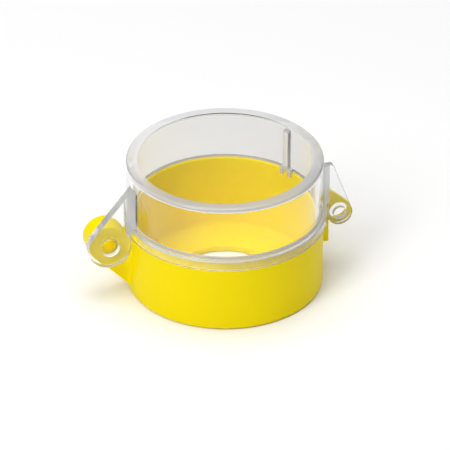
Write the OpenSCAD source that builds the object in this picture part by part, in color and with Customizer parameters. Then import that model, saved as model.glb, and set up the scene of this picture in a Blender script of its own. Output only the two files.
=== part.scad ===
// Clear hinged guard for a panel push button: an open yellow cup that is clamped
// under the button, with a see-through lid that swings on a pin and can be locked.
//
// Row frame, in millimetres: the origin is the centre of the button hole on the
// cup's underside, which lies on the panel. +Z points out of the panel, the hinge
// is on the -X side and the locking ears are on the +X side.

/* [Cup] */

// Outside diameter of the cup and of the lid's wall
body_d = 60; // [56:0.5:80]
// Diameter of the hole in the floor, for a 30.5 mm operator
button_hole_d = 30.5; // [22.5:0.5:31]
// Thickness of the floor that the button clamps
floor_t = 2; // [1.5:0.1:4]
// Thickness of the cup's wall
cup_wall = 2.4; // [1.8:0.1:3.2]
// Height of the cup, from the panel to the top of its rim
cup_h = 24.8; // [20:0.2:34]
// Inside corner between floor and wall
floor_fillet = 1.5; // [0.5:0.1:3]
// Bevel round the outer bottom edge
foot_bevel = 0.5; // [0.3:0.1:1]
// Height of the thinned rim that the lid's lip surrounds
rim_h = 4.2; // [3:0.1:6]
// Edge radius of the rim
rim_round = 0.4; // [0.2:0.05:0.6]

/* [Lid] */

// Overall height with the lid closed
total_h = 42.5; // [36:0.5:60]
// Thickness of the lid's wall
lid_wall = 2.1; // [1.6:0.1:3]
// Thickness of the lid's flat top
lid_top = 1.8; // [1.4:0.1:3]
// Outer radius of the top edge
top_round = 0.8; // [0.4:0.1:1.6]
// How far the lip stands out from the wall
lip_out = 1.1; // [0.8:0.1:2]
// Thickness of the lip
lip_t = 1.5; // [1:0.1:2.2]
// Height of the lip, shoulder included
lip_h = 3.4; // [2.6:0.1:5]
// Gap between the lid's shoulder and the cup's rim
seat_gap = 0.2; // [0.15:0.05:0.5]

/* [Hinge] */

// Depth of the hinge pin below the top of the cup's rim
hinge_drop = 6.2; // [4.5:0.1:10]
// Gap between the cup's round lug and the lid's lip
lug_gap = 0.42; // [0.3:0.02:2]
// Diameter of the hinge pin's shank
pin_d = 3; // [2.6:0.1:4]
// Diameter of the pin's head, which keeps the lid on
head_d = 4; // [3.8:0.1:5.4]
// Thickness of the pin's head
head_t = 0.9; // [0.6:0.1:1.2]
// Clearance on the pin's radius in the lid's ear
pin_play = 0.05; // [0.02:0.01:0.09]
// Diameter of the recess round the pin's head
recess_d = 6; // [5.6:0.1:8]
// Depth of that recess
recess_deep = 2; // [1.2:0.1:2.2]
// Radius of the lid ear's round end
ear_r = 6.8; // [5:0.1:7]
// Smallest gap between the ear's round end and the cup's wall
ear_gap = 0.3; // [0.3:0.05:2]
// Thickness of the lid's ear
ear_t = 3.1; // [2.5:0.1:5]
// How far below the lid's top the ear's sloping edge leaves the wall
ear_drop = 4.5; // [2:0.5:14]
// Radius of the cup lug's round end
lug_r = 6.2; // [4.6:0.1:6.4]
// Thickness of the cup's lug
lug_t = 6.4; // [3:0.1:8]
// Height at which the lug's sloping edge leaves the cup's wall
lug_foot = 2; // [1:0.25:8]
// Sideways gap between ear and lug
side_gap = 0.3; // [0.2:0.05:0.6]

/* [Lock] */

// Distance from the lid's lip out to the lock hole
lock_out = 5.1; // [4.6:0.1:16]
// Depth of the lock hole below the top of the cup's rim
lock_drop = 7.2; // [5:0.1:12]
// Gap between the cup's lock lug and the lid's lip
lock_gap = 0.6; // [0.4:0.1:2]
// Diameter of the lid's lock hole, for a seal or a thin shackle
lock_hole_d = 4.2; // [3:0.1:5]
// Diameter of the wider hole in the cup's lock lug
lug_hole_d = 6; // [4:0.1:6.4]
// Radius of both ears' round ends
lock_r = 4; // [3.4:0.1:5]
// Thickness of the lid's lock ear
lock_ear_t = 2; // [1.8:0.1:5]
// Thickness of the cup's lock lug
lock_lug_t = 1.8; // [1.6:0.1:4]
// How far the lock ear's top lies below the lid's top
lock_ear_drop = 7; // [3:0.5:14]
// Width of the lock ear's short shoulder
lock_shoulder = 4.2; // [2.5:0.1:6]
// Radius of the shoulder's corner
shoulder_round = 1.2; // [0.6:0.1:2]
// How far the cup's lock lug rises above the rim
lock_lug_rise = 1.4; // [0:0.1:6]
// Height of the lock lug's lower end
lock_lug_foot = 6.7; // [3:0.1:12]
// Depth of the lug's rib, out from the cup's wall
lock_rib = 3.3; // [2:0.1:4]

/* [Blends] */

// Radius where an ear grows out of the lid's wall
ear_blend = 3.6; // [0.8:0.1:5]
// Radius where a lug grows out of the cup's wall
lug_blend = 2; // [0.8:0.1:3]

/* [Guide rib] */

// Direction of the rib inside the lid, from the lock side
rib_turn = 29.5; // [20:0.5:60]
// Width of the rib
rib_w = 2.2; // [1:0.1:3]
// How far the rib stands in from the lid's wall
rib_in = 1.4; // [1:0.1:3]
// Width of the rib's two-legged foot
foot_w = 4.6; // [3.6:0.1:7]
// Width of the gap between the foot's legs
foot_gap = 1.8; // [1:0.1:3]
// How far the foot reaches down inside the cup
rib_down = 1.4; // [1:0.1:3]

/* [Hidden] */

body_r = body_d / 2;
cup_in = body_r - cup_wall;
lip_r = body_r + lip_out;
lip_in = lip_r - lip_t;
rim_r = lip_in - 0.6;
lid_z = cup_h + seat_gap;
lid_in = body_r - lid_wall;
lip_z0 = lid_z - lip_h - 0.3;
lip_z1 = lip_z0 + lip_h;
rim_z = cup_h - rim_h;
hinge_z = cup_h - hinge_drop;
hinge_x = max(lip_r + lug_gap + sqrt(pow(lug_r, 2) - pow(max(0, lip_z0 - hinge_z), 2)),
              body_r + ear_gap + ear_r);
ear_top = total_h - ear_drop;
lock_x = lip_r + lock_out;
lock_z = cup_h - lock_drop;
lock_top = total_h - lock_ear_drop;
lock_lug_top = cup_h + lock_lug_rise;
ear_y0 = -ear_t - side_gap / 2;
lug_y0 = side_gap / 2;
lock_y0 = -lock_ear_t - side_gap / 2;
pin_y0 = ear_y0 + recess_deep - pin_play - head_t;
pin_y1 = lug_y0 + lug_t - 0.6;
pin_dome = 0.4;

// The point where a straight line from p touches the left side of a circle.
function touch(p, c, r) =
    let (d = norm(c - p), a = atan2(c[1] - p[1], c[0] - p[0]), s = asin(r / d), t = d * cos(s))
    p + t * [cos(a + s), sin(a + s)];

// The same on the right side.
function touch_right(p, c, r) =
    let (d = norm(c - p), a = atan2(c[1] - p[1], c[0] - p[0]), s = asin(r / d), t = d * cos(s))
    p + t * [cos(a - s), sin(a - s)];

// The outer tangent of two circles, on the side that turn (1 or -1) picks.
function tangent(c1, r1, c2, r2, turn) =
    let (v = c2 - c1, a = atan2(v[1], v[0]) + turn * acos((r1 - r2) / norm(v)), n = [cos(a), sin(a)])
    [c1 + r1 * n, c2 + r2 * n];

// A flat outline drawn in X and Z, given thickness t along +Y from y0.
module plate(y0, t) {
    translate([0, y0 + t, 0])
        rotate([90, 0, 0])
            linear_extrude(height = t)
                children();
}

// A round hole or bar along Y.
module along_y(x, z, r, y0, y1) {
    translate([x, y1, z])
        rotate([90, 0, 0])
            cylinder(h = y1 - y0, r = r, $fn = 64);
}

// A quarter-round corner to add to a profile: centre c, radius r, quadrant signs s.
module corner(c, r, s) {
    difference() {
        translate([min(c[0], c[0] - s[0] * r), min(c[1], c[1] - s[1] * r)])
            square([r, r]);
        translate([c[0] - s[0] * r, c[1] - s[1] * r])
            circle(r = r, $fn = 48);
    }
}

// A concave blend, standing from z0 to z1, between a wall of radius wall_r and the
// face of a plate at y = face that looks towards side; end is 1 on +X and -1 on -X.
module blend(wall_r, face, side, r, end, z0, z1) {
    cy = face + side * r;
    cx = sqrt(pow(wall_r + r, 2) - cy * cy);
    k = wall_r / (wall_r + r);
    translate([0, 0, z0])
        linear_extrude(height = z1 - z0)
            difference() {
                polygon([[end * (cx * k - 0.3), cy * k], [end * (cx * k - 0.3), face - side * 0.4],
                         [end * cx, face - side * 0.4], [end * cx, face], [end * cx * k, cy * k]]);
                translate([end * cx, cy]) circle(r = r, $fn = 64);
            }
}

module cup_profile() {
    difference() {
        polygon([
            [button_hole_d / 2, 0], [body_r - foot_bevel, 0], [body_r, foot_bevel],
            [body_r, rim_z], [rim_r, rim_z + 0.4], [rim_r, cup_h], [cup_in, cup_h],
            [cup_in, floor_t], [button_hole_d / 2, floor_t]
        ]);
        corner([rim_r, cup_h], rim_round, [1, 1]);
        corner([cup_in, cup_h], rim_round, [-1, 1]);
    }
    corner([cup_in, floor_t], floor_fillet, [1, -1]);
}

module hinge_lug_outline() {
    c = [-hinge_x, hinge_z];
    p = [-body_r, lug_foot];
    t = touch(p, c, lug_r);
    shelf = min(rim_z - 0.1, hinge_z + 0.56 * lug_r);
    translate(c) circle(r = lug_r, $fn = 96);
    polygon([p, t, c, [-hinge_x + 0.5 * lug_r, shelf], [-body_r + 1, shelf],
             [-body_r + 1, lug_foot]]);
}

module lock_lug_outline() {
    c = [lock_x, lock_z];
    inner = lip_r + lock_gap;
    p = [inner + 0.8, lock_lug_top];
    t = touch(p, c, lock_r);
    shelf = lip_z0 - 0.5;
    difference() {
        union() {
            translate(c) circle(r = lock_r, $fn = 96);
            polygon([[inner, lock_lug_top - 0.6], [inner + 0.6, lock_lug_top],
                     p, t, c, [body_r + lock_rib, lock_z - 2], [body_r + lock_rib, lock_lug_foot],
                     [body_r - 1, lock_lug_foot], [body_r - 1, shelf], [inner, shelf]]);
        }
        translate(c) circle(d = lug_hole_d, $fn = 64);
    }
}

module base_cup() {
    color([0.98, 0.86, 0.05])
    difference() {
        union() {
            rotate_extrude($fn = 180) cup_profile();
            plate(lug_y0, lug_t) hinge_lug_outline();
            plate(lug_y0, lock_lug_t) lock_lug_outline();
            difference() {
                intersection() {
                    plate(-body_r, body_d) hinge_lug_outline();
                    blend(body_r, lug_y0, -1, lug_blend, -1, 0.6, hinge_z);
                }
                // room for the lid's ear to turn
                along_y(-hinge_x, hinge_z, ear_r + 0.4, -body_r, lug_y0);
            }
            intersection() {
                plate(-body_r, body_d) hinge_lug_outline();
                blend(body_r, lug_y0 + lug_t, 1, lug_blend, -1, 0.6, rim_z - 0.4);
            }
        }
        along_y(-hinge_x, hinge_z, pin_d / 2, lug_y0 - 1, pin_y1);
    }
}

module lid_profile() {
    difference() {
        polygon([
            [0, total_h], [0, total_h - lid_top], [lid_in, total_h - lid_top],
            [lid_in, lid_z], [lip_in, lid_z], [lip_in, lip_z0],
            [lip_r, lip_z0], [lip_r, lip_z1 - 0.3], [lip_r - 0.3, lip_z1], [body_r, lip_z1],
            [body_r, total_h]
        ]);
        corner([body_r, total_h], top_round, [1, 1]);
    }
    corner([lid_in, total_h - lid_top], 0.8, [1, 1]);
}

module hinge_ear_outline() {
    c = [-hinge_x, hinge_z];
    p = [-body_r, ear_top];
    t = touch_right(p, c, ear_r);
    edge = -hinge_x + ear_r;
    translate(c) circle(r = ear_r, $fn = 96);
    polygon([p, t, c, [edge, hinge_z], [edge, lip_z0 + 0.4], [-lip_in - 0.4, lip_z0 + 0.4],
             [-lip_in - 0.4, lid_z], [-body_r + 0.9, lid_z], [-body_r + 0.9, ear_top]]);
}

module lock_ear_outline() {
    c = [lock_x, lock_z];
    s = [body_r + lock_shoulder - shoulder_round, lock_top - shoulder_round];
    t = tangent(s, shoulder_round, c, lock_r, 1);
    edge = lock_x - lock_r;
    difference() {
        union() {
            translate(c) circle(r = lock_r, $fn = 96);
            translate(s) circle(r = shoulder_round, $fn = 48);
            polygon([[body_r - 0.9, lock_top], [s[0], lock_top], s, t[0], t[1], c, [edge, lock_z],
                     [edge, lip_z0 + 0.4], [lip_in + 0.4, lip_z0 + 0.4], [lip_in + 0.4, lid_z],
                     [body_r - 0.9, lid_z]]);
        }
        translate(c) circle(d = lock_hole_d, $fn = 64);
    }
}

module guide_rib() {
    foot_z = cup_h - rib_down;
    knee_z = lid_z + 1.6;
    rotate([0, 0, rib_turn]) {
        plate(-rib_w / 2, rib_w)
            polygon([
                [lid_in + 0.8, total_h - lid_top - 0.8], [lid_in - rib_in, total_h - lid_top - 1.6],
                [lid_in - rib_in, lid_z + 0.8], [lid_in + 0.8, lid_z + 0.8]
            ]);
        difference() {
            plate(-foot_w / 2, foot_w)
                polygon([
                    [lid_in + 0.8, knee_z], [lid_in - rib_in, knee_z - 0.6],
                    [lid_in - rib_in, foot_z + 0.4], [lid_in - rib_in + 0.4, foot_z],
                    [cup_in - 0.6, foot_z], [cup_in - 0.6, lid_z + 0.25], [lid_in + 0.8, lid_z + 0.25]
                ]);
            translate([0, -foot_gap / 2, foot_z - 1])
                cube([body_d, foot_gap, lid_z + 0.25 - foot_z + 1]);
        }
    }
}

module clear_lid() {
    color([0.85, 0.88, 0.90, 0.35])
    difference() {
        union() {
            rotate_extrude($fn = 180) lid_profile();
            plate(ear_y0, ear_t) hinge_ear_outline();
            plate(lock_y0, lock_ear_t) lock_ear_outline();
            intersection() {
                plate(-body_r, body_d) hinge_ear_outline();
                blend(body_r, ear_y0, -1, ear_blend, -1, lip_z0 + 0.5, ear_top);
            }
            intersection() {
                plate(-body_r, body_d) lock_ear_outline();
                blend(body_r, lock_y0, -1, ear_blend, 1, lip_z0 + 0.5, lock_top + 1);
            }
            guide_rib();
        }
        along_y(-hinge_x, hinge_z, pin_d / 2 + pin_play, ear_y0 - 1, ear_y0 + ear_t + 1);
        along_y(-hinge_x, hinge_z, recess_d / 2, ear_y0 - 1, ear_y0 + recess_deep);
    }
}

module hinge_pin() {
    // a headed pin, drawn as a turned profile along Y
    head_r = head_d / 2;
    pin_r = pin_d / 2;
    long = pin_y1 - pin_y0;
    color([0.98, 0.84, 0.05])
        translate([-hinge_x, pin_y0, hinge_z])
            rotate([-90, 0, 0])
                rotate_extrude($fn = 64)
                    polygon([[0, 0], [head_r - pin_dome, 0], [head_r, pin_dome], [head_r, head_t],
                             [pin_r, head_t], [pin_r, long - 0.4], [pin_r - 0.4, long], [0, long]]);
}

base_cup();
clear_lid();
hinge_pin();
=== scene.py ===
import math

import bmesh
import bpy
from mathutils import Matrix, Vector


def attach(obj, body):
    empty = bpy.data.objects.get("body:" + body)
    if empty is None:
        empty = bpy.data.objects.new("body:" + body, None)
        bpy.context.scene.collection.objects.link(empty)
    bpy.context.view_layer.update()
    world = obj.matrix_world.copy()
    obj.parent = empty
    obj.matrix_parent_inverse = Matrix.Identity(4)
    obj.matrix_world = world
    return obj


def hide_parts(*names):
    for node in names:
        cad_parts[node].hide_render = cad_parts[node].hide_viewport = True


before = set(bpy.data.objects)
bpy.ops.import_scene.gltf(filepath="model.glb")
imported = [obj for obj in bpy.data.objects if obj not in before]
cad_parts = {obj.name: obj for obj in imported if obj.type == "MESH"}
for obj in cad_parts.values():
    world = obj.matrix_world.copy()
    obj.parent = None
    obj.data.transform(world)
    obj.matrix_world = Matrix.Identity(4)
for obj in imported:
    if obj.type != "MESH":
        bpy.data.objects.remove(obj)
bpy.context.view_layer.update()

MM = 0.001

# Sizes in millimetres, as in the part's source.
BODY_R = 30.0            # cup and lid wall
HOLE_R = 15.25           # button hole
FLOOR_T = 2.0
CUP_WALL = 2.4
CUP_H = 24.8
RIM_H = 4.2
TOTAL_H = 42.5
LID_WALL = 2.1
LID_TOP = 1.8
LIP_OUT = 1.1
LIP_T = 1.5
LIP_H = 3.4
LIP_DROP = 0.3           # from the lid's seat down to the top of its lip
RIM_PLAY = 0.6           # between the cup's rim and the inside of the lip
SEAT_GAP = 0.2

HINGE_X = 37.101
HINGE_Z = 18.6
PIN_D = 3.0
HEAD_D = 4.0
HEAD_T = 0.9
HEAD_DOME = 0.6
PIN_SHORT = 0.6          # the pin stops short of the lug's back face
PIN_PLAY = 0.05
RECESS_D = 6.0
RECESS_DEEP = 2.0
EAR_R = 6.8
EAR_T = 3.1
EAR_TOP = 38.0
LUG_R = 6.2
LUG_T = 6.4
LUG_FOOT = 2.0
SIDE_GAP = 0.3

LOCK_X = 36.2
LOCK_Z = 17.6
LOCK_HOLE_D = 4.2
LUG_HOLE_D = 6.0
LOCK_R = 4.0
LOCK_EAR_T = 2.0
LOCK_LUG_T = 1.8
LOCK_TOP = 35.5
LOCK_SHOULDER = 4.2
SHOULDER_ROUND = 1.2
LOCK_LUG_TOP = 26.2
LOCK_LUG_FOOT = 6.7
LOCK_RIB = 3.3
LOCK_GAP = 0.6           # between the lock lug and the lip

EAR_ROOM = 0.4           # clear round the lid's ear, where it turns beside the cup
EAR_BLEND = 3.6
LUG_BLEND = 2.0

RIB_TURN = 29.5
RIB_W = 2.2
RIB_IN = 1.4
FOOT_W = 4.6
FOOT_GAP = 1.8
RIB_DOWN = 1.4

CUP_IN = BODY_R - CUP_WALL
LIP_R = BODY_R + LIP_OUT
LIP_IN = LIP_R - LIP_T
RIM_R = LIP_IN - RIM_PLAY
LID_Z = CUP_H + SEAT_GAP
LID_IN = BODY_R - LID_WALL
LIP_Z0 = LID_Z - LIP_H - LIP_DROP
LIP_Z1 = LIP_Z0 + LIP_H
RIM_Z = CUP_H - RIM_H

# Faces of the ears and lugs along Y: the lid's stand in front of the cup's.
EAR_BACK = -SIDE_GAP / 2
EAR_FRONT = -EAR_T - SIDE_GAP / 2
LOCK_EAR_FRONT = -LOCK_EAR_T - SIDE_GAP / 2
LUG_FRONT = SIDE_GAP / 2
LUG_BACK = SIDE_GAP / 2 + LUG_T
LOCK_LUG_BACK = SIDE_GAP / 2 + LOCK_LUG_T

# How far joined shapes run into each other.
EAR_BITE = 0.9           # ears into the lid's wall
LUG_BITE = 1.0           # lugs into the cup's wall
LIP_LAP = 0.4            # ears past the lip's inner side, and above its lower edge
ROOT_BITE = 0.4          # root blends into a plate
WALL_BITE = 0.3          # root blends into a wall
RIB_BITE = 0.8           # rib into the lid's wall

PAINTED_RING_IN = 1.3            # how far the painted grey ring of the top reaches in from the lid's wall
SHARP_CORNER = 0.001     # radius that stands for a sharp corner
TURN_STEPS = 288         # facets round a turned wall
BAR_STEPS = 96           # facets round the pin and the bores
END_STEPS = 56           # facets of a hinge outline's round end
BLEND_STEPS = 12         # facets of a root blend
PAINTED_LIGHT_LAYERS = ("painted_light", "shade")  # mesh attributes: how much painted grey a face gets, and how light that grey is (painted light and shade)


# ---------------------------------------------------------------- flat outlines

def arc(cx, cz, r, a0, a1, steps):
    """Points from angle a0 to a1, in degrees, on a circle."""
    return [(cx + r * math.cos(math.radians(a0 + (a1 - a0) * i / steps)),
             cz + r * math.sin(math.radians(a0 + (a1 - a0) * i / steps))) for i in range(steps + 1)]


def rounded(corners, steps=5):
    """An outline whose corners (x, z, radius) are each eased by an arc of that radius."""
    out = []
    count = len(corners)
    for i, (x, z, r) in enumerate(corners):
        here = Vector((x, z))
        if r <= 0:
            out.append((x, z))
            continue
        back = (Vector(corners[i - 1][:2]) - here).normalized()
        on = (Vector(corners[(i + 1) % count][:2]) - here).normalized()
        half = back.angle(on) / 2
        reach = r / math.tan(half)
        centre = here + (back + on).normalized() * (r / math.sin(half))
        first, last = here + back * reach - centre, here + on * reach - centre
        a0 = math.atan2(first.y, first.x)
        sweep = math.atan2(first.x * last.y - first.y * last.x, first.dot(last))
        for k in range(steps + 1):
            a = a0 + sweep * k / steps
            out.append((centre.x + r * math.cos(a), centre.y + r * math.sin(a)))
    return out


def tangent(c1, r1, c2, r2, turn):
    """Direction, in degrees, from each centre to where the outer tangent touches both circles."""
    v = Vector(c2) - Vector(c1)
    return math.degrees(math.atan2(v.y, v.x) + turn * math.acos((r1 - r2) / v.length))


def hinge_ear_outline():
    """Lid's hinge ear: a straight slope from the wall, tangent to the round end."""
    slope = tangent((-BODY_R, EAR_TOP), SHARP_CORNER, (-HINGE_X, HINGE_Z), EAR_R, -1)
    root, foot = -BODY_R + EAR_BITE, LIP_Z0 + LIP_LAP
    return ([(root, EAR_TOP + 1.2), (-BODY_R + 0.2, EAR_TOP + 0.25)]
            + arc(-HINGE_X, HINGE_Z, EAR_R, slope % 360, 360, END_STEPS)
            + [(-HINGE_X + EAR_R, foot), (-LIP_IN - LIP_LAP, foot), (-LIP_IN - LIP_LAP, LID_Z),
               (root, LID_Z)])


def lock_ear_outline():
    """Lid's lock ear: a short shoulder, then a steep slope to a round end."""
    x, z = BODY_R + LOCK_SHOULDER - SHOULDER_ROUND, LOCK_TOP - SHOULDER_ROUND
    slope = tangent((x, z), SHOULDER_ROUND, (LOCK_X, LOCK_Z), LOCK_R, 1)
    root, foot = BODY_R - EAR_BITE, LIP_Z0 + LIP_LAP
    return ([(root, LOCK_TOP)] + arc(x, z, SHOULDER_ROUND, 90, slope, 10)
            + arc(LOCK_X, LOCK_Z, LOCK_R, slope, -180, 44)
            + [(LOCK_X - LOCK_R, foot), (LIP_IN + LIP_LAP, foot), (LIP_IN + LIP_LAP, LID_Z),
               (root, LID_Z)])


def hinge_lug_outline():
    """Cup's hinge lug: a round end on a web that slopes down to the foot of the cup."""
    slope = tangent((-BODY_R, LUG_FOOT), SHARP_CORNER, (-HINGE_X, HINGE_Z), LUG_R, 1)
    shelf = min(RIM_Z - 0.1, HINGE_Z + 0.56 * LUG_R)
    rise = math.degrees(math.asin((shelf - HINGE_Z) / LUG_R))
    root = -BODY_R + LUG_BITE
    return (arc(-HINGE_X, HINGE_Z, LUG_R, rise, slope % 360, END_STEPS)
            + [(-BODY_R, LUG_FOOT), (root, LUG_FOOT), (root, shelf)])


def lock_lug_outline():
    """Cup's lock lug: a rib up the wall, standing clear of the lid's lip, with a round end."""
    inner = LIP_R + LOCK_GAP
    slope = tangent((inner + 0.8, LOCK_LUG_TOP), SHARP_CORNER, (LOCK_X, LOCK_Z), LOCK_R, 1)
    rib = BODY_R + LOCK_RIB
    low = math.degrees(math.atan2(-math.sqrt(LOCK_R ** 2 - (rib - LOCK_X) ** 2), rib - LOCK_X))
    root, shelf = BODY_R - LUG_BITE, LIP_Z0 - 0.5
    return ([(inner, LOCK_LUG_TOP - 0.6), (inner + 0.6, LOCK_LUG_TOP), (inner + 0.8, LOCK_LUG_TOP)]
            + arc(LOCK_X, LOCK_Z, LOCK_R, slope, low, 40)
            + [(rib, LOCK_LUG_FOOT), (root, LOCK_LUG_FOOT), (root, shelf), (inner, shelf)])


# ---------------------------------------------------------------- nodes

def add_node(tree, kind, settings=None, inputs=None):
    """A new node with its settings; an input is linked if it is a socket, or else set."""
    made = tree.nodes.new(kind)
    for key, value in (settings or {}).items():
        setattr(made, key, value)
    for key, value in (inputs or {}).items():
        if isinstance(value, Value):
            value = value.socket
        if isinstance(value, bpy.types.NodeSocket):
            tree.links.new(value, made.inputs[key])
        else:
            made.inputs[key].default_value = value
    return made


def add_maths(tree, operation, first, second=0.0):
    """The result socket of a new Math node."""
    return add_node(tree, "ShaderNodeMath", {"operation": operation},
                    {0: first, 1: second}).outputs[0]


class Value:
    """A node socket that takes arithmetic, each step adding a Math node."""

    def __init__(self, tree, socket):
        self.tree, self.socket = tree, socket

    def _maths(self, operation, first, second):
        return Value(self.tree, add_maths(self.tree, operation, first, second))

    def __add__(self, other): return self._maths("ADD", self, other)
    def __radd__(self, other): return self._maths("ADD", other, self)
    def __sub__(self, other): return self._maths("SUBTRACT", self, other)
    def __rmul__(self, other): return self._maths("MULTIPLY", other, self)


# ---------------------------------------------------------------- solids

def object_from(bm, name):
    """An object in the scene from a bmesh, which is used up."""
    mesh = bpy.data.meshes.new(name)
    bm.normal_update()
    bm.to_mesh(mesh)
    bm.free()
    piece = bpy.data.objects.new(name, mesh)
    bpy.context.scene.collection.objects.link(piece)
    return piece


def turning_tree():
    """Node group that turns a closed profile of points, radius in X and height in Z, about Z."""
    tree = bpy.data.node_groups.new("turned wall", "GeometryNodeTree")
    sockets = tree.interface
    sockets.new_socket("Profile", in_out="INPUT", socket_type="NodeSocketGeometry")
    sockets.new_socket("Steps", in_out="INPUT", socket_type="NodeSocketInt")
    sockets.new_socket("Finish", in_out="INPUT", socket_type="NodeSocketMaterial")
    sockets.new_socket("Wall", in_out="OUTPUT", socket_type="NodeSocketGeometry")

    def node(kind, settings=None, inputs=None):
        return add_node(tree, kind, settings, inputs)

    def maths(operation, first, second=0.0):
        return add_maths(tree, operation, first, second)

    given = node("NodeGroupInput").outputs
    count = node("GeometryNodeAttributeDomainSize", {},
                 {"Geometry": given["Profile"]}).outputs["Point Count"]
    across = maths("ADD", given["Steps"], 1.0)
    sheet = node("GeometryNodeMeshGrid", {}, {"Vertices X": maths("ADD", count, 1.0),
                                              "Vertices Y": across}).outputs["Mesh"]
    index = node("GeometryNodeInputIndex").outputs[0]
    row = maths("FLOOR", maths("DIVIDE", maths("ADD", index, 0.5), across))
    step = maths("SUBTRACT", index, maths("MULTIPLY", row, across))
    turn = maths("MULTIPLY", maths("DIVIDE", step, given["Steps"]), 2 * math.pi)
    place = node("GeometryNodeSampleIndex", {"data_type": "FLOAT_VECTOR", "domain": "POINT"}, {
        "Geometry": given["Profile"], "Value": node("GeometryNodeInputPosition").outputs[0],
        "Index": maths("MODULO", row, count)}).outputs[0]
    part = node("ShaderNodeSeparateXYZ", {}, {0: place}).outputs
    spot = node("ShaderNodeCombineXYZ", {}, {
        0: maths("MULTIPLY", part[0], maths("COSINE", turn)),
        1: maths("MULTIPLY", part[0], maths("SINE", turn)), 2: part[2]}).outputs[0]
    wall = node("GeometryNodeSetPosition", {}, {"Geometry": sheet, "Position": spot}).outputs[0]
    closed = node("GeometryNodeMergeByDistance", {},
                  {"Geometry": wall, "Distance": 0.0005 * MM}).outputs[0]
    real = node("GeometryNodeRealizeInstances", {}, {"Geometry": closed}).outputs[0]
    coloured = node("GeometryNodeSetMaterial", {}, {"Geometry": real, "Material": given["Finish"]})
    node("NodeGroupOutput", {}, {"Wall": coloured.outputs[0]})
    return tree


TURNING = turning_tree()


def turned(profile, name, finish=None, steps=TURN_STEPS, centre=(0.0, 0.0), along_y=False):
    """A closed profile of (radius, height) turned about Z, or about Y through centre."""
    bm = bmesh.new()
    for r, h in profile:
        bm.verts.new((r * MM, 0.0, h * MM))
    piece = object_from(bm, name)
    turning = piece.modifiers.new("turning", "NODES")
    turning.node_group = TURNING
    for item in TURNING.interface.items_tree:
        if item.in_out == "INPUT" and item.name == "Steps":
            turning[item.identifier] = steps
        if item.in_out == "INPUT" and item.name == "Finish":
            turning[item.identifier] = finish
    depsgraph = bpy.context.evaluated_depsgraph_get()
    wall = bpy.data.meshes.new_from_object(piece.evaluated_get(depsgraph))
    piece.modifiers.remove(turning)
    old, piece.data = piece.data, wall
    bpy.data.meshes.remove(old)
    bm = bmesh.new()
    bm.from_mesh(wall)
    bmesh.ops.delete(bm, geom=[e for e in bm.edges if not e.link_faces], context="EDGES")
    if along_y:
        for v in bm.verts:
            x, y, z = v.co
            v.co = (x + centre[0] * MM, z, -y + centre[1] * MM)
    bmesh.ops.recalc_face_normals(bm, faces=bm.faces)
    bm.to_mesh(wall)
    bm.free()
    return piece


def plate(outline, y0, y1, name, ease=0.0, drop=0.0):
    """An outline in X and Z given thickness along Y, with its long edges eased."""
    bm = bmesh.new()
    front = [bm.verts.new((x * MM, y0 * MM, (z - drop) * MM)) for x, z in outline]
    face = bm.faces.new(front)
    made = bmesh.ops.extrude_face_region(bm, geom=[face])
    for v in [g for g in made["geom"] if isinstance(g, bmesh.types.BMVert)]:
        v.co.y = y1 * MM
    bmesh.ops.recalc_face_normals(bm, faces=bm.faces)
    if ease > 0:
        rim = [e for e in bm.edges if abs(e.verts[0].co.y - e.verts[1].co.y) < 1e-7]
        bmesh.ops.bevel(bm, geom=rim, offset=ease * MM, segments=3, profile=0.5,
                        affect="EDGES", clamp_overlap=True)
    return object_from(bm, name)


def bar_along_y(x, z, r, y0, y1, name):
    """A round bar, for cutting a bore."""
    return turned([(0, y0), (r, y0), (r, y1), (0, y1)], name, None, BAR_STEPS, (x, z), True)


def blend(wall_r, face, side, r, end, z0, z1, name):
    """A concave corner between a round wall and the face of a plate at y = face."""
    cy = face + side * r
    cx = math.sqrt((wall_r + r) ** 2 - cy * cy)
    k = wall_r / (wall_r + r)
    a0 = math.atan2(-cy, -cx)
    a1 = math.atan2(face - cy, 0.0)
    sweep = (a1 - a0 + math.pi) % (2 * math.pi) - math.pi
    curve = [(cx + r * math.cos(a0 + sweep * i / BLEND_STEPS),
              cy + r * math.sin(a0 + sweep * i / BLEND_STEPS)) for i in range(BLEND_STEPS + 1)]
    plan = curve + [(cx, face - side * ROOT_BITE), (cx * k - WALL_BITE, face - side * ROOT_BITE),
                    (cx * k - WALL_BITE, cy * k)]
    bm = bmesh.new()
    low = [bm.verts.new((end * x * MM, y * MM, z0 * MM)) for x, y in plan]
    made = bmesh.ops.extrude_face_region(bm, geom=[bm.faces.new(low)])
    for v in [g for g in made["geom"] if isinstance(g, bmesh.types.BMVert)]:
        v.co.z = z1 * MM
    bmesh.ops.recalc_face_normals(bm, faces=bm.faces)
    return object_from(bm, name)


def combine(piece, other, operation):
    """One solid from two, by an exact boolean; the second is used up."""
    cut = piece.modifiers.new("combine", "BOOLEAN")
    cut.operation, cut.solver, cut.object = operation, "EXACT", other
    depsgraph = bpy.context.evaluated_depsgraph_get()
    solid = bpy.data.meshes.new_from_object(piece.evaluated_get(depsgraph))
    piece.modifiers.remove(cut)
    old, piece.data = piece.data, solid
    bpy.data.meshes.remove(old)
    bpy.data.objects.remove(other)
    return piece


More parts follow.
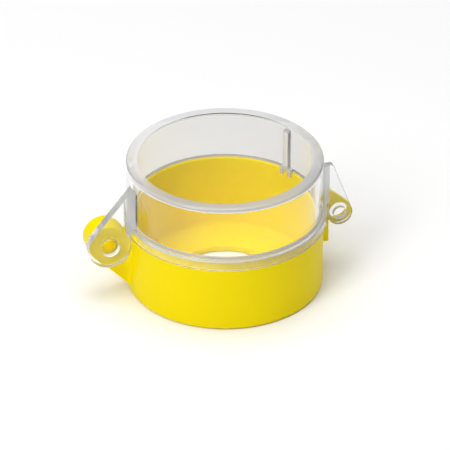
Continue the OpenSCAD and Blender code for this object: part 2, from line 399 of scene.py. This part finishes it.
def finish_solid(piece, name, finish, sharp=28.0, painted_light=None):
    """Merge slivers, smooth the round walls, keep true edges, and give the finish.

    The last argument, if given, tells from a face's centre and normal how much painted grey the
    face gets and how light that grey is: painted light and shade."""
    bm = bmesh.new()
    bm.from_mesh(piece.data)
    bmesh.ops.remove_doubles(bm, verts=bm.verts, dist=0.004 * MM)
    bmesh.ops.holes_fill(bm, edges=[e for e in bm.edges if e.is_boundary], sides=4)
    for face in bm.faces:
        face.smooth = True
    for edge in bm.edges:
        edge.smooth = (len(edge.link_faces) == 2
                       and edge.calc_face_angle(0.0) < math.radians(sharp))
    bm.to_mesh(piece.data)
    bm.free()
    piece.name = piece.data.name = name
    piece.data.materials.clear()
    piece.data.materials.append(finish)
    if painted_light:
        # Painted light and shade: each face's share of painted grey and its grey level go into face
        # attributes.
        layers = [piece.data.attributes.new(title, "FLOAT", "FACE") for title in PAINTED_LIGHT_LAYERS]
        for face in piece.data.polygons:
            for layer, value in zip(layers, painted_light(face.center / MM, face.normal)):
                layer.data[face.index].value = value
    weighted = piece.modifiers.new("even shading", "WEIGHTED_NORMAL")
    weighted.keep_sharp = True
    weighted.weight = 80
    return piece


# ---------------------------------------------------------------- finishes

class Finish:
    """A material under construction."""

    def __init__(self, name):
        self.material = bpy.data.materials.new(name)
        self.material.use_nodes = True
        self.tree = self.material.node_tree
        self.tree.nodes.clear()

    def node(self, kind, settings=None, inputs=None):
        return add_node(self.tree, kind, settings, inputs)

    def noise(self, scale, detail, roughness):
        place = self.node("ShaderNodeTexCoord").outputs["Object"]
        made = self.node("ShaderNodeTexNoise", {}, {
            "Vector": place, "Scale": scale, "Detail": detail, "Roughness": roughness})
        return Value(self.tree, made.outputs["Fac"])

    def attribute(self, title):
        made = self.node("ShaderNodeAttribute", {"attribute_name": title})
        return Value(self.tree, made.outputs["Fac"])

    def tint(self, low, high, mask):
        """A colour between low and high."""
        made = self.node("ShaderNodeMix", {"data_type": "RGBA"},
                         {0: mask, 6: (*low, 1.0), 7: (*high, 1.0)})
        return made.outputs[2]

    def bump(self, height, strength, distance):
        return self.node("ShaderNodeBump", {}, {"Height": height, "Strength": strength,
                                                "Distance": distance}).outputs["Normal"]

    def done(self, shader):
        self.node("ShaderNodeOutputMaterial", {}, {"Surface": shader})
        return self.material


def moulded_yellow(name, low, high, rough):
    """Glossy filled yellow plastic: faint flow marks, a slight orange peel, soft depth."""
    f = Finish(name)
    flow = f.noise(55.0, 3.0, 0.55)
    peel = f.noise(900.0, 2.0, 0.5)
    shader = f.node("ShaderNodeBsdfPrincipled", {}, {
        "Base Color": f.tint(low, high, flow),
        "Roughness": rough + 0.10 * (flow - 0.5) + 0.04 * (peel - 0.5),
        "IOR": 1.5,
        "Specular IOR Level": 0.06,
        "Subsurface Weight": 0.12,
        "Subsurface Radius": (1.0, 0.7, 0.15),
        "Subsurface Scale": 0.0012,
        "Normal": f.bump(peel + 2.0 * flow, 0.10, 0.00004),
    })
    return f.done(shader.outputs[0])


def moulded_clear():
    """Clear polycarbonate: real bending of light, faint moulding waves, light reaches inside; at
    thick edges a painted grey, lighter or darker face by face, stands in for the light and shade
    they bend and reflect.
    """
    f = Finish("clear_polycarbonate")
    wave = f.noise(70.0, 2.0, 0.5)
    smear = f.noise(260.0, 3.0, 0.6)
    body = f.node("ShaderNodeBsdfPrincipled", {}, {
        "Base Color": f.tint((0.928, 0.930, 0.936), (0.948, 0.950, 0.954), wave),
        "Roughness": 0.012 + 0.03 * smear,
        "IOR": 1.45,
        "Specular IOR Level": 0.24,
        "Transmission Weight": 0.993,
        "Normal": f.bump(wave, 0.06, 0.00012),
    })
    painted_light, shade = (f.attribute(title) for title in PAINTED_LIGHT_LAYERS)
    # Painted light and shade: a grey from near black to near white, as each face's painted shade
    # says.
    painted_grey = f.node("ShaderNodeBsdfPrincipled", {}, {
        "Base Color": f.tint((0.06, 0.06, 0.07), (0.95, 0.95, 0.96), shade),
        "Roughness": 0.15,
    })
    surface = f.node("ShaderNodeMixShader", {}, {
        0: painted_light, 1: body.outputs[0], 2: painted_grey.outputs[0]})
    open_way = f.node("ShaderNodeBsdfTransparent", {}, {"Color": (0.78, 0.78, 0.78, 1.0)})
    path = f.node("ShaderNodeLightPath")
    shader = f.node("ShaderNodeMixShader", {}, {
        0: path.outputs["Is Shadow Ray"], 1: surface.outputs[0], 2: open_way.outputs[0]})
    return f.done(shader.outputs[0])


# ---------------------------------------------------------------- pieces

def make_cup(finish):
    """The yellow cup: a turned shell with its rim, the hinge lug on its web, and the lock lug."""
    shell = rounded([
        (HOLE_R, 0.0, 0.25), (BODY_R, 0.0, 0.7), (BODY_R, RIM_Z, 0.35), (RIM_R, RIM_Z + 0.4, 0.15),
        (RIM_R, CUP_H, 0.45), (CUP_IN, CUP_H, 0.45), (CUP_IN, FLOOR_T, 1.5),
        (HOLE_R, FLOOR_T, 0.35),
    ])
    cup = turned(shell, "cup_shell", finish)
    hinge = plate(hinge_lug_outline(), LUG_FRONT, LUG_BACK, "hinge_lug", 0.55)
    lock = plate(lock_lug_outline(), LUG_FRONT, LOCK_LUG_BACK, "lock_lug", 0.3)
    hole = bar_along_y(LOCK_X, LOCK_Z, LUG_HOLE_D / 2, -1, 4, "lock_hole")
    combine(lock, hole, "DIFFERENCE")
    for face, side, top in ((LUG_FRONT, -1, HINGE_Z), (LUG_BACK, 1, RIM_Z - 0.4)):
        root = blend(BODY_R, face, side, LUG_BLEND, -1, 0.6, top, "lug_root")
        limit = plate(hinge_lug_outline(), -10, 20, "lug_limit", drop=-0.05)
        combine(root, limit, "INTERSECT")
        if side < 0:
            room = bar_along_y(-HINGE_X, HINGE_Z, EAR_R + EAR_ROOM, -10, LUG_FRONT, "ear_room")
            combine(root, room, "DIFFERENCE")
        combine(cup, root, "UNION")
    combine(cup, hinge, "UNION")
    combine(cup, lock, "UNION")
    bore = bar_along_y(-HINGE_X, HINGE_Z, PIN_D / 2, -1, LUG_BACK - PIN_SHORT, "pin_bore")
    combine(cup, bore, "DIFFERENCE")
    return finish_solid(cup, "cup", finish)


def make_rib():
    """The rib inside the lid, with its two-legged foot that drops inside the cup's rim."""
    root, face = LID_IN + RIB_BITE, LID_IN - RIB_IN
    top, knee, foot = TOTAL_H - LID_TOP, LID_Z + 1.6, CUP_H - RIB_DOWN
    stem_z, leg_z = LID_Z + 0.8, LID_Z + 0.25
    stem = plate(rounded([
        (root, top - 0.8, 0), (face, top - 1.6, 0.5), (face, stem_z, 0), (root, stem_z, 0),
    ]), -RIB_W / 2, RIB_W / 2, "rib", 0.3)
    for side in (-1, 1):
        near, far = side * FOOT_GAP / 2, side * FOOT_W / 2
        leg = plate(rounded([
            (root, knee, 0), (face, knee - 0.6, 0.4), (face, foot, 0.2),
            (CUP_IN - 0.6, foot, 0.15), (CUP_IN - 0.6, leg_z, 0), (root, leg_z, 0),
        ]), min(near, far), max(near, far), "leg", 0.1)
        combine(stem, leg, "UNION")
    bridge = plate([(LID_IN + 0.7, leg_z), (face + 0.1, leg_z), (face + 0.1, knee - 0.7),
                    (LID_IN + 0.7, knee - 0.2)],
                   -FOOT_GAP / 2 - 0.3, FOOT_GAP / 2 + 0.3, "bridge")
    combine(stem, bridge, "UNION")
    turn = math.radians(RIB_TURN)
    for v in stem.data.vertices:
        x, y = v.co.x, v.co.y
        v.co.x = x * math.cos(turn) - y * math.sin(turn)
        v.co.y = x * math.sin(turn) + y * math.cos(turn)
    return stem


def painted_edge_light(at, normal):
    """How much painted grey a face of the lid gets, and how light that grey is: painted light and
    shade standing in for the light that thick corners and edges bend and reflect.
    """
    out = math.hypot(at.x, at.y)
    along = (at.x * normal.x + at.y * normal.y) / max(out, 0.001)
    from_pin = math.hypot(at.x + HINGE_X, at.z - HINGE_Z)
    side_on = abs(normal.y) < 0.5

    # The recess round the pin's head: a painted white highlight on the faces turned up and to the
    # left, a faint painted grey on the rest.
    if from_pin < RECESS_D / 2 + 0.1 and side_on:
        return (1.0, 1.0) if normal.z - 0.6 * normal.x > 0.1 else (0.2, 0.6)
    # The top's rim, painted grey: least of it at the sides, painted darker at the front and lighter
    # toward the back.
    if at.z > TOTAL_H - 0.9 and normal.z > 0.1 and out > LID_IN - PAINTED_RING_IN:
        if out > BODY_R - 0.6 and at.y > 0:
            return 0.7, 0.6
        painted_light = 0.82 - 0.4 * max(0.0, 1.0 - abs(at.y - 2.0) / 20.0)
        return painted_light, min(0.93, 0.50 + 0.018 * max(0.0, at.y + 16.0))
    # The inner corner under the top, at the back.
    if (LID_IN - 0.9 < out < LID_IN + 0.05 and 0 < TOTAL_H - LID_TOP + 0.05 - at.z < 0.9
            and at.y > 0):
        return 0.6, 0.88
    # The seat on the cup's rim.
    if abs(at.z - LID_Z) < 0.3 and LID_IN - 0.05 < out < LIP_IN + 0.05:
        return 0.6, 0.6
    # The narrow sides of the ears.
    if out > BODY_R + 0.15 and side_on and (at.z > LIP_Z1 + 0.3 or out > LIP_R + 0.3):
        return 0.6, 0.62
    # The root blends of the ears.
    if (out > BODY_R + 0.02 and at.z > LIP_Z0 + 0.5 and along < 0.97
            and -0.985 < normal.y < -0.1):
        return 0.7, 0.62
    # The rib.
    if (LID_IN - RIB_IN - 0.2 < out < LID_IN - 0.05
            and LIP_Z0 < at.z < TOTAL_H - LID_TOP - 0.5):
        return 0.5, 0.75
    # The top of the lip, then its outside.
    if out > BODY_R + 0.2 and abs(at.z - LIP_Z1) < 0.5 and normal.z > 0.3:
        return 0.5, 0.5
    if out > LIP_R - 0.1 and LIP_Z0 < at.z < LIP_Z1 and abs(at.x) < BODY_R:
        return 0.16, 0.4
    return 0.0, 0.0


def make_lid(finish):
    """The clear lid: a turned shell with its lip, two ears with their roots, and the rib."""
    shell = rounded([
        (0.0, TOTAL_H, 0.0), (LID_IN - PAINTED_RING_IN, TOTAL_H, 0.0), (BODY_R, TOTAL_H, 0.8),
        (BODY_R, LIP_Z1, 0.25), (LIP_R, LIP_Z1, 0.4), (LIP_R, LIP_Z0, 0.3), (LIP_IN, LIP_Z0, 0.3),
        (LIP_IN, LID_Z, 0.15), (LID_IN, LID_Z, 0.25), (LID_IN, TOTAL_H - LID_TOP, 0.8),
        (0.0, TOTAL_H - LID_TOP, 0.0),
    ])
    lid = turned(shell, "lid_shell", finish)
    ear = plate(hinge_ear_outline(), EAR_FRONT, EAR_BACK, "hinge_ear", 0.3)
    lock = plate(lock_ear_outline(), LOCK_EAR_FRONT, EAR_BACK, "lock_ear", 0.25)
    for outline, face, end, top in ((hinge_ear_outline, EAR_FRONT, -1, EAR_TOP),
                                    (lock_ear_outline, LOCK_EAR_FRONT, 1, LOCK_TOP + 1)):
        root = blend(BODY_R, face, -1, EAR_BLEND, end, LIP_Z0 + 0.5, top, "ear_root")
        limit = plate(outline(), -20, 10, "ear_limit", drop=0.06)
        combine(lid, combine(root, limit, "INTERSECT"), "UNION")
    for piece in (ear, lock, make_rib()):
        combine(lid, piece, "UNION")
    recess_back = EAR_FRONT + RECESS_DEEP
    for x, z, r, y0, y1 in (
            (-HINGE_X, HINGE_Z, PIN_D / 2 + PIN_PLAY, EAR_FRONT - 1, 1),
            (-HINGE_X, HINGE_Z, RECESS_D / 2, EAR_FRONT - 1, recess_back),
            (LOCK_X, LOCK_Z, LOCK_HOLE_D / 2, -6, 1)):
        combine(lid, bar_along_y(x, z, r, y0, y1, "bore"), "DIFFERENCE")
    # The lid's thick edges get painted light and shade.
    return finish_solid(lid, "lid", finish, painted_light=painted_edge_light)


def make_pin(finish):
    """The hinge pin: a low domed head in the ear's recess, and a shank into the lug."""
    y0 = EAR_FRONT + RECESS_DEEP - PIN_PLAY - HEAD_T
    y1 = LUG_BACK - PIN_SHORT
    head, shank = HEAD_D / 2, PIN_D / 2
    dome = [(head * math.sin(math.radians(a)), y0 + HEAD_DOME * (1 - math.cos(math.radians(a))))
            for a in range(0, 91, 9)]
    profile = dome + [(head, y0 + HEAD_T), (shank, y0 + HEAD_T), (shank, y1 - 0.4),
                      (shank - 0.4, y1), (0.0, y1)]
    pin = turned(profile, "pin", finish, BAR_STEPS, (-HINGE_X, HINGE_Z), True)
    return finish_solid(pin, "pin", finish)


yellow = moulded_yellow("cup_yellow", (0.89, 0.71, 0.001), (0.94, 0.75, 0.002), 0.32)
pin_yellow = moulded_yellow("pin_yellow", (0.87, 0.60, 0.002), (0.92, 0.66, 0.003), 0.20)
clear = moulded_clear()

cup = make_cup(yellow)
lid = make_lid(clear)
pin = make_pin(pin_yellow)

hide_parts("base_cup")
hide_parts("clear_lid")
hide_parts("hinge_pin")
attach(cup, "cup")
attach(pin, "cup")
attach(lid, "lid")


# ---------------------------------------------------------------- stage

def make_floor():
    """A matt white floor, a hair below the cup."""
    bm = bmesh.new()
    bmesh.ops.create_grid(bm, x_segments=1, y_segments=1, size=6.0)
    floor = object_from(bm, "floor")
    floor.location.z = -0.0002
    f = Finish("pale_floor")
    grain = f.noise(4.0, 2.0, 0.5)
    shader = f.node("ShaderNodeBsdfPrincipled", {}, {
        "Base Color": f.tint((0.93, 0.93, 0.93), (0.95, 0.95, 0.95), grain),
        "Roughness": 0.9,
        "Specular IOR Level": 0.1,
    })
    floor.data.materials.append(f.done(shader.outputs[0]))


def soft_box(name, place, aim, side, power):
    """A square area lamp that looks at aim."""
    light = bpy.data.lights.new(name, "AREA")
    light.shape, light.size, light.energy = "SQUARE", side, power
    lamp = bpy.data.objects.new(name, light)
    lamp.location = place
    lamp.rotation_euler = (Vector(aim) - Vector(place)).to_track_quat("-Z", "Y").to_euler()
    bpy.context.scene.collection.objects.link(lamp)


def make_camera():
    """A long lens from the front, a little to the left and well above."""
    turn, rise, distance = math.radians(-16.5), math.radians(32.0), 1.56
    target = Vector((0.0, 0.0, 0.0185))
    back = Vector((math.sin(turn) * math.cos(rise), -math.cos(turn) * math.cos(rise),
                   math.sin(rise)))
    camera = bpy.data.objects.new("camera", bpy.data.cameras.new("camera"))
    camera.location = target + back * distance
    camera.rotation_euler = (-back).to_track_quat("-Z", "Y").to_euler()
    camera.data.lens = 409.0
    camera.data.sensor_width = 36.0
    camera.data.clip_end = 50.0
    bpy.context.scene.collection.objects.link(camera)
    bpy.context.scene.camera = camera


def make_sky():
    """A soft white ceiling over a dimmer horizon, so the flat top stays clear of glare.

    Near the horizon, what is seen through the clear lid is evenly white."""
    world = bpy.data.worlds.new("studio")
    world.use_nodes = True
    tree = world.node_tree
    place = add_node(tree, "ShaderNodeTexCoord").outputs["Generated"]
    height = add_node(tree, "ShaderNodeSeparateXYZ", {}, {0: place}).outputs["Z"]
    ramp = add_node(tree, "ShaderNodeValToRGB", {}, {"Fac": height})
    stops = ((0.0, 0.15), (0.62, 0.15), (0.82, 1.0), (1.0, 1.3))
    while len(ramp.color_ramp.elements) < len(stops):
        ramp.color_ramp.elements.new(0.5)
    for element, (at, grey) in zip(ramp.color_ramp.elements, stops):
        element.position, element.color = at, (grey, grey, grey, 1.0)
    path = add_node(tree, "ShaderNodeLightPath").outputs
    unscattered = add_maths(tree, "LESS_THAN", path["Diffuse Depth"], 0.5)
    direct = add_maths(tree, "MULTIPLY", unscattered, path["Is Transmission Ray"])
    low = add_maths(tree, "LESS_THAN", height, 0.5)
    choice = add_node(tree, "ShaderNodeMix", {"data_type": "RGBA"}, {
        0: add_maths(tree, "MULTIPLY", direct, low), 6: ramp.outputs["Color"],
        7: (0.85, 0.85, 0.86, 1.0)})
    sky = tree.nodes["Background"]
    tree.links.new(choice.outputs[2], sky.inputs["Color"])
    sky.inputs["Strength"].default_value = 1.0
    bpy.context.scene.world = world
    bpy.context.scene.view_settings.view_transform = "Standard"


make_floor()
make_camera()
make_sky()
centre = (0.0, 0.0, 0.02)
soft_box("key", (-0.62, -0.43, 0.64), centre, side=0.35, power=4.2)
soft_box("overhead", (0.0, 0.1, 1.3), centre, side=0.7, power=4.3)
